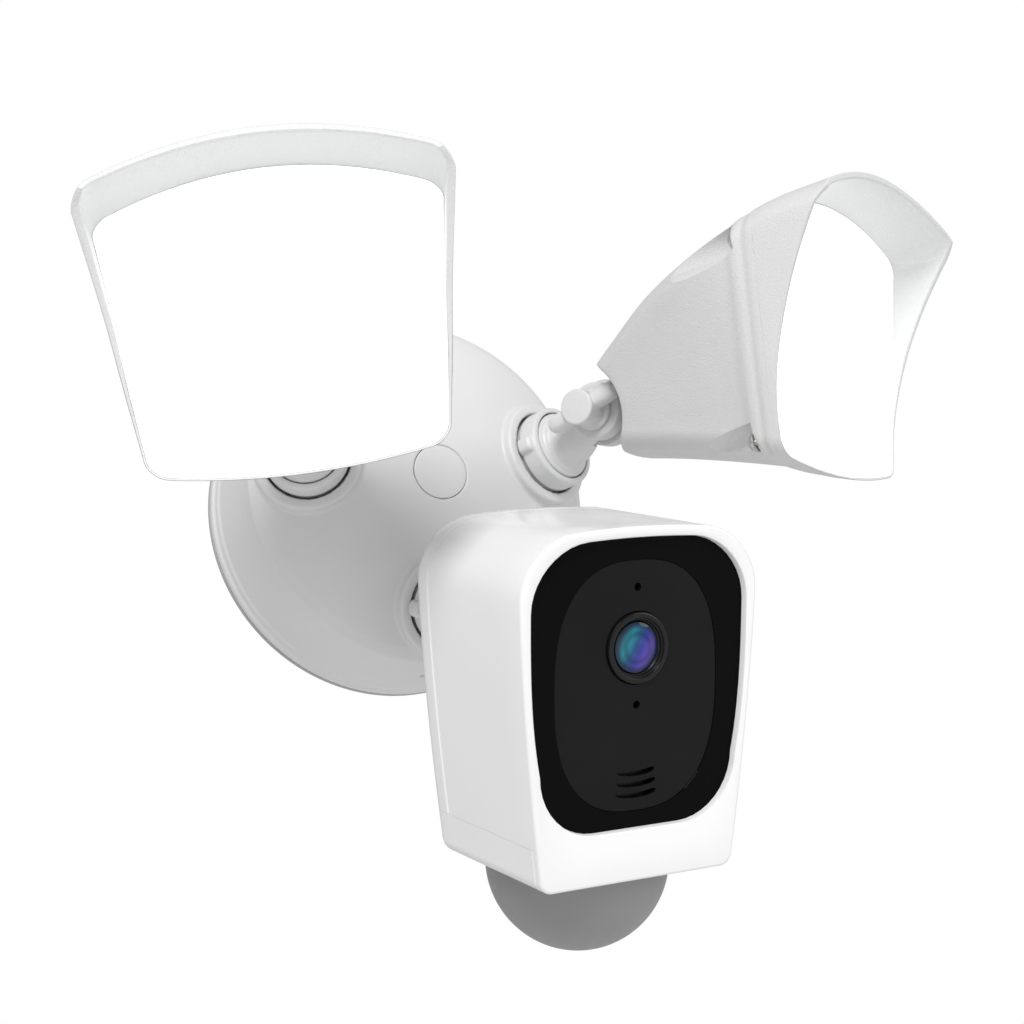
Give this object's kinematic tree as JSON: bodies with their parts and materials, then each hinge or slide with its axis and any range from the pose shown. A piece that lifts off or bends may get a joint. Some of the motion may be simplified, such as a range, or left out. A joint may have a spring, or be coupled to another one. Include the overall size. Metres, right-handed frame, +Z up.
{
  "type": "floodlight security camera",
  "caption": "Wall-mounted security light: a round canopy with jointed arms that carry hooded LED floodlights and a camera with a motion sensor dome.",
  "frame": {"origin": "middle of the canopy's back, on the wall", "axes": "+Z up, -Y out of the wall towards the viewer, +X to the viewer's right"},
  "size_m": [0.3003, 0.2044, 0.2288],
  "materials": {
    "white_plastic": "satin moulded white plastic",
    "white_paint": "white with a fine painted grain",
    "rubber": "grey seal",
    "steel": "zinc plated",
    "reflector": "bright, pressed",
    "circuit_board": "green solder mask",
    "diffuser": "opal, lit from behind",
    "black_plastic": "matt black",
    "gloss_black": "polished black",
    "lens_glass": "coated camera lens",
    "frosted_plastic": "frosted grey, passes infrared"
  },
  "bodies": {
    "canopy": {"base_cover": "white_plastic", "wall_gasket": "rubber", "mounting_plate": "steel", "cable_grommet": "rubber", "centre_bolt": "steel", "driver_board": "circuit_board", "transformer": "black_plastic", "terminal_block": "black_plastic", "left_nut_gasket": "rubber", "right_nut_gasket": "rubber", "camera_nut_gasket": "rubber"},
    "plug": {"centre_plug": "white_plastic"},
    "left_nut": {"left_lock_nut": "white_plastic"},
    "left_arm": {"left_arm": "white_plastic", "left_arm_clip": "steel"},
    "left_screw": {"left_wing_screw": "white_plastic"},
    "left_head": {"left_hinge_nut": "steel", "left_lamp_housing": "white_paint", "left_lamp_hood": "white_paint", "left_lamp_lens": "diffuser", "left_lamp_gasket": "rubber", "left_reflector": "reflector", "left_led_board": "circuit_board", "left_lamp_screw_1": "steel", "left_lamp_screw_2": "steel", "left_lamp_screw_3": "steel", "left_lamp_screw_4": "steel"},
    "right_nut": {"right_lock_nut": "white_plastic"},
    "right_arm": {"right_arm": "white_plastic", "right_arm_clip": "steel"},
    "right_screw": {"right_wing_screw": "white_plastic"},
    "right_head": {"right_hinge_nut": "steel", "right_lamp_housing": "white_paint", "right_lamp_hood": "white_paint", "right_lamp_lens": "diffuser", "right_lamp_gasket": "rubber", "right_reflector": "reflector", "right_led_board": "circuit_board", "right_lamp_screw_1": "steel", "right_lamp_screw_2": "steel", "right_lamp_screw_3": "steel", "right_lamp_screw_4": "steel"},
    "camera_nut": {"camera_lock_nut": "white_plastic"},
    "camera_arm": {"camera_arm": "white_plastic", "camera_arm_clip": "steel"},
    "camera_screw": {"camera_wing_screw": "white_plastic"},
    "camera_head": {"camera_hinge_nut": "steel", "front_shell": "white_plastic", "rear_cover": "white_plastic", "bottom_cover": "white_plastic", "front_panel": "gloss_black", "lens_barrel": "black_plastic", "lens_glass": "lens_glass", "main_board": "circuit_board", "image_sensor": "black_plastic", "speaker": "black_plastic", "light_sensor": "black_plastic", "microphone": "black_plastic", "pir_dome": "frosted_plastic", "pir_sensor": "steel"}
  },
  "joints": [
    {"name": "left_swivel", "type": "hinge", "parent": "canopy", "child": "left_arm", "pos_m": [-0.04428, -0.0527, 0.00805], "axis": [-0.3813, -0.9219, 0.0693], "range_deg": [-60, 60]},
    {"name": "left_tilt", "type": "hinge", "parent": "left_arm", "child": "left_head", "pos_m": [-0.05481, -0.07816, 0.01397], "axis": [0.9336, -0.3584, 0], "range_deg": [-40, 20]},
    {"name": "left_screw_turn", "type": "hinge", "parent": "left_arm", "child": "left_screw", "pos_m": [-0.05481, -0.07816, 0.01397], "axis": [0.9336, -0.3584, 0], "range_deg": [0, 180]},
    {"name": "left_nut_turn", "type": "hinge", "parent": "canopy", "child": "left_nut", "pos_m": [-0.04428, -0.0527, 0.00805], "axis": [-0.3813, -0.9219, 0.0693], "range_deg": [0, 90]},
    {"name": "right_swivel", "type": "hinge", "parent": "canopy", "child": "right_arm", "pos_m": [0.04428, -0.0527, 0.00805], "axis": [0.3813, -0.9219, 0.0693], "range_deg": [-60, 60]},
    {"name": "right_tilt", "type": "hinge", "parent": "right_arm", "child": "right_head", "pos_m": [0.05481, -0.07816, 0.01397], "axis": [0.8515, 0.5197, 0.0698], "range_deg": [-40, 20]},
    {"name": "right_screw_turn", "type": "hinge", "parent": "right_arm", "child": "right_screw", "pos_m": [0.05481, -0.07816, 0.01397], "axis": [-0.8515, -0.5197, -0.0698], "range_deg": [0, 180]},
    {"name": "right_nut_turn", "type": "hinge", "parent": "canopy", "child": "right_nut", "pos_m": [0.04428, -0.0527, 0.00805], "axis": [0.3813, -0.9219, 0.0693], "range_deg": [0, 90]},
    {"name": "camera_swivel", "type": "hinge", "parent": "canopy", "child": "camera_arm", "pos_m": [0, -0.0527, -0.045], "axis": [0, -0.9219, -0.3875], "range_deg": [-45, 45]},
    {"name": "camera_tilt", "type": "hinge", "parent": "camera_arm", "child": "camera_head", "pos_m": [0, -0.07997, -0.05212], "axis": [0.9943, 0.092, 0.0532], "range_deg": [-30, 30]},
    {"name": "camera_screw_turn", "type": "hinge", "parent": "camera_arm", "child": "camera_screw", "pos_m": [0, -0.07997, -0.05212], "axis": [0.9943, 0.092, 0.0532], "range_deg": [0, 180]},
    {"name": "camera_nut_turn", "type": "hinge", "parent": "canopy", "child": "camera_nut", "pos_m": [0, -0.0527, -0.045], "axis": [0, -0.9219, -0.3875], "range_deg": [0, 90]},
    {"name": "plug_pull", "type": "slide", "parent": "canopy", "child": "plug", "axis": [0, -1, 0], "range_m": [0, 0.012]}
  ]
}
